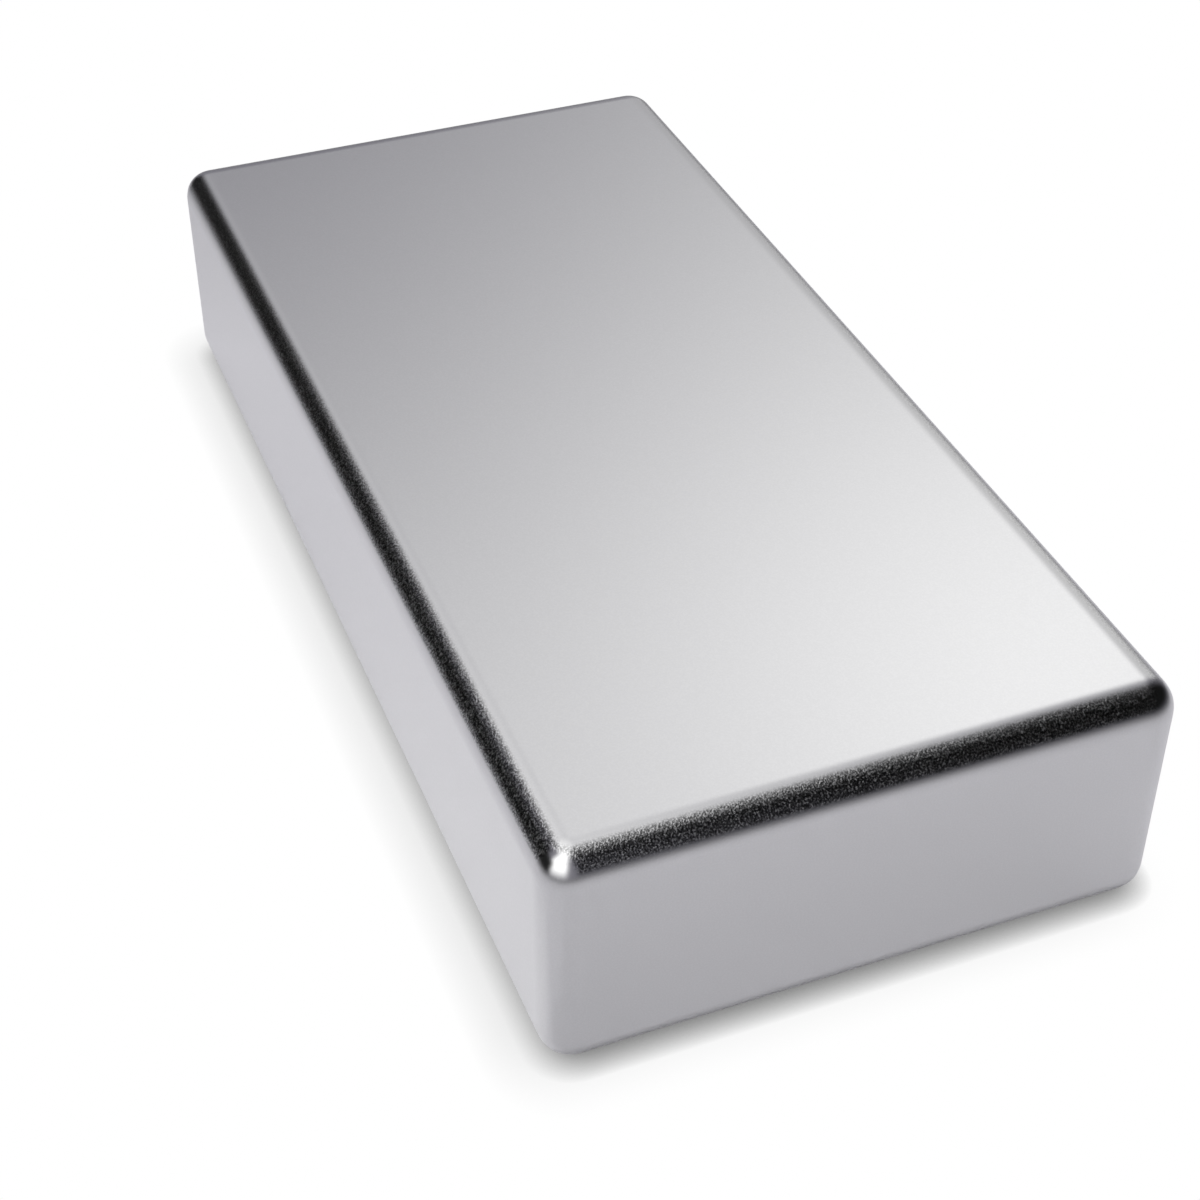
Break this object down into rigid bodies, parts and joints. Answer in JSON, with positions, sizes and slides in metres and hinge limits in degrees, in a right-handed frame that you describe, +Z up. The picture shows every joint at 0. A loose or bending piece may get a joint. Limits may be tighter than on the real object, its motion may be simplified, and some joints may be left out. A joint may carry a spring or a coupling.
{
  "type": "block magnet",
  "caption": "Flat rectangular block magnet in satin nickel plate, with every edge and corner rounded, magnetised through its thickness.",
  "frame": {"origin": "centre of the lower pole face, on the surface that the block lies on", "axes": "+X along the length, +Y across the width, +Z up through the thickness, which is also the axis of magnetisation"},
  "size_m": [0.0252, 0.012, 0.005],
  "materials": {
    "nickel_plate": "satin"
  },
  "bodies": {
    "root": {"magnet_block": "nickel_plate"}
  },
  "joints": []
}
